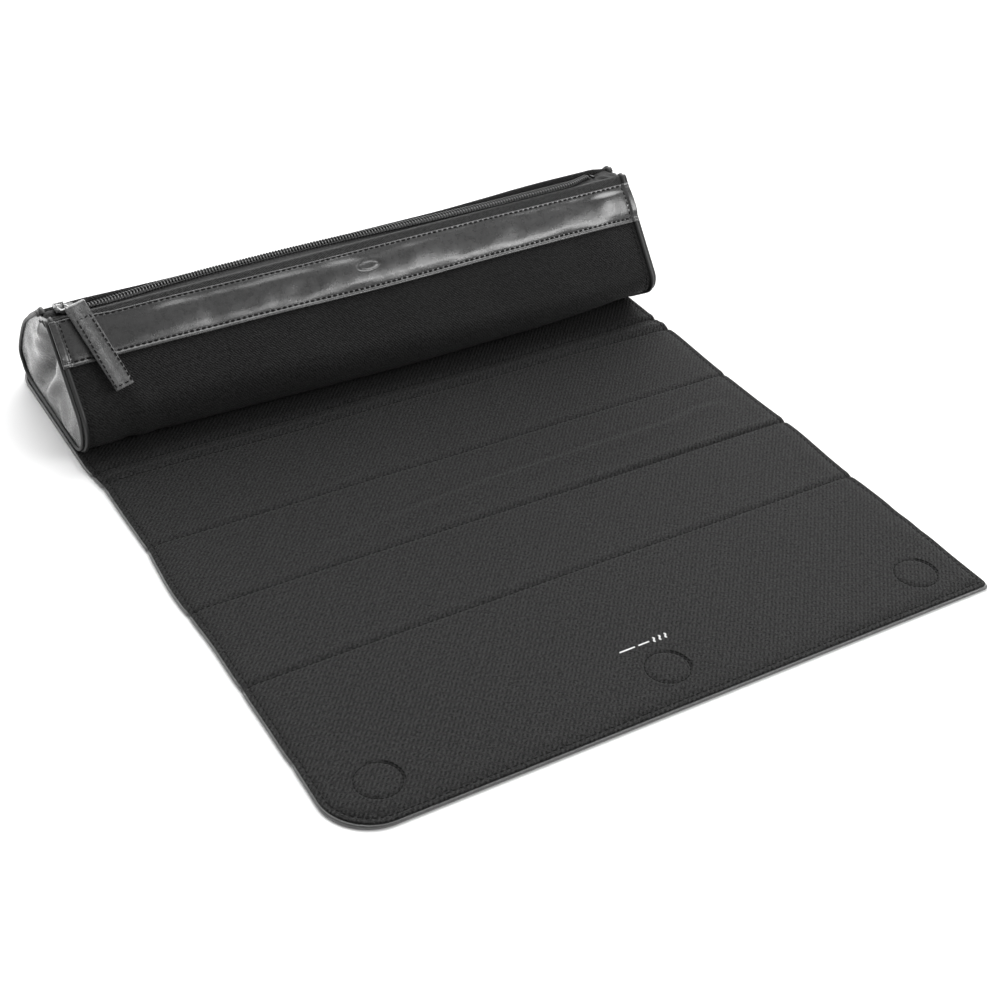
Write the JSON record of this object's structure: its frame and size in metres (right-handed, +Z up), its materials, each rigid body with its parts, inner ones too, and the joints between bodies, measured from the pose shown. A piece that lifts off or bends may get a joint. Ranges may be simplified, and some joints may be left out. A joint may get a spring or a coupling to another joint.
{
  "type": "hair styler roll pouch with heat mat",
  "caption": "Zipped padded pouch for a hot hair styler, sewn to a mat with fold lines that rolls round it and closes with magnets.",
  "frame": {"origin": "middle of the footprint, on the face that rests on the table", "axes": "+X along the pouch, the zipper closes towards -X; +Y from the mat's free edge to the pouch; +Z up"},
  "size_m": [0.354, 0.4037, 0.0784],
  "materials": {
    "woven_nylon": "black woven nylon with a fine diagonal twill",
    "foam": "grey felt-backed foam padding",
    "lining_cloth": "thin black lining cloth",
    "gloss_leather": "smooth glossy black leather, lightly wrinkled",
    "zipper_tape": "black ribbed polyester tape",
    "zipper_coil": "black nylon coil",
    "black_metal": "black painted crimp",
    "slider_metal": "bright plated die-cast metal and wire",
    "magnet": "nickel-plated magnet disc",
    "steel": "plain steel disc",
    "mat_cloth": "black heat-resistant woven cloth with a fine diagonal twill",
    "mat_pad": "thin heat-resistant felt pad",
    "mat_leather": "glossy black leather under-layer, edges turned in"
  },
  "bodies": {
    "pouch": {"pouch_shell": "woven_nylon", "pouch_padding": "foam", "pouch_lining": "lining_cloth", "front_leather_band": "gloss_leather", "left_end_cap": "gloss_leather", "right_end_cap": "gloss_leather", "left_end_piping": "gloss_leather", "right_end_piping": "gloss_leather", "zipper_tape_front": "zipper_tape", "zipper_tape_rear": "zipper_tape", "zipper_coil_front": "zipper_coil", "zipper_coil_rear": "zipper_coil", "zipper_bottom_stop": "black_metal", "zipper_top_stops": "black_metal", "left_tape_tab": "woven_nylon", "right_tape_tab": "woven_nylon", "base_panel_cloth": "mat_cloth", "base_panel_pad": "mat_pad", "base_panel_leather": "mat_leather", "base_steel_discs": "steel"},
    "nose_panel": {"nose_panel_cloth": "mat_cloth", "nose_panel_pad": "mat_pad", "nose_panel_leather": "mat_leather"},
    "front_panel": {"front_panel_cloth": "mat_cloth", "front_panel_pad": "mat_pad", "front_panel_leather": "mat_leather"},
    "top_panel": {"top_panel_cloth": "mat_cloth", "top_panel_pad": "mat_pad", "top_panel_leather": "mat_leather"},
    "rear_panel": {"rear_panel_cloth": "mat_cloth", "rear_panel_pad": "mat_pad", "rear_panel_leather": "mat_leather"},
    "heel_panel": {"heel_panel_cloth": "mat_cloth", "heel_panel_pad": "mat_pad", "heel_panel_leather": "mat_leather"},
    "flap_panel": {"flap_panel_cloth": "mat_cloth", "flap_panel_pad": "mat_pad", "flap_panel_leather": "mat_leather", "flap_magnets": "magnet"},
    "slider": {"slider_body": "slider_metal", "slider_bridge": "slider_metal"},
    "link": {"pull_link": "slider_metal"},
    "pull_tab": {"pull_tab_front_ply": "gloss_leather", "pull_tab_rear_ply": "gloss_leather"}
  },
  "joints": [
    {"name": "nose_fold", "type": "hinge", "parent": "pouch", "child": "nose_panel", "pos_m": [0, 0.0827, 0.004], "axis": [-1, 0, 0], "range_deg": [0, 77]},
    {"name": "front_fold", "type": "hinge", "parent": "nose_panel", "child": "front_panel", "pos_m": [0, 0.0712, 0.004], "axis": [-1, 0, 0], "range_deg": [0, 30]},
    {"name": "top_fold", "type": "hinge", "parent": "front_panel", "child": "top_panel", "pos_m": [0, 0.0112, 0.004], "axis": [-1, 0, 0], "range_deg": [0, 55]},
    {"name": "rear_fold", "type": "hinge", "parent": "top_panel", "child": "rear_panel", "pos_m": [0, -0.0428, 0.004], "axis": [-1, 0, 0], "range_deg": [0, 61]},
    {"name": "heel_fold", "type": "hinge", "parent": "rear_panel", "child": "heel_panel", "pos_m": [0, -0.1003, 0.004], "axis": [-1, 0, 0], "range_deg": [0, 28]},
    {"name": "flap_fold", "type": "hinge", "parent": "heel_panel", "child": "flap_panel", "pos_m": [0, -0.1538, 0.004], "axis": [-1, 0, 0], "range_deg": [0, 109]},
    {"name": "zipper_slide", "type": "slide", "parent": "pouch", "child": "slider", "axis": [-0.9995, 0.0129, -0.0271], "range_m": [-0.295, 0]},
    {"name": "link_lift", "type": "hinge", "parent": "slider", "child": "link", "pos_m": [-0.16838, 0.14144, 0.0701], "axis": [0.0184, 0.9764, -0.215], "range_deg": [-100, 0]},
    {"name": "pull_tab_flip", "type": "hinge", "parent": "link", "child": "pull_tab", "pos_m": [-0.16076, 0.13206, 0.07235], "axis": [0.9995, -0.0129, 0.0271], "range_deg": [-180, 0]}
  ]
}
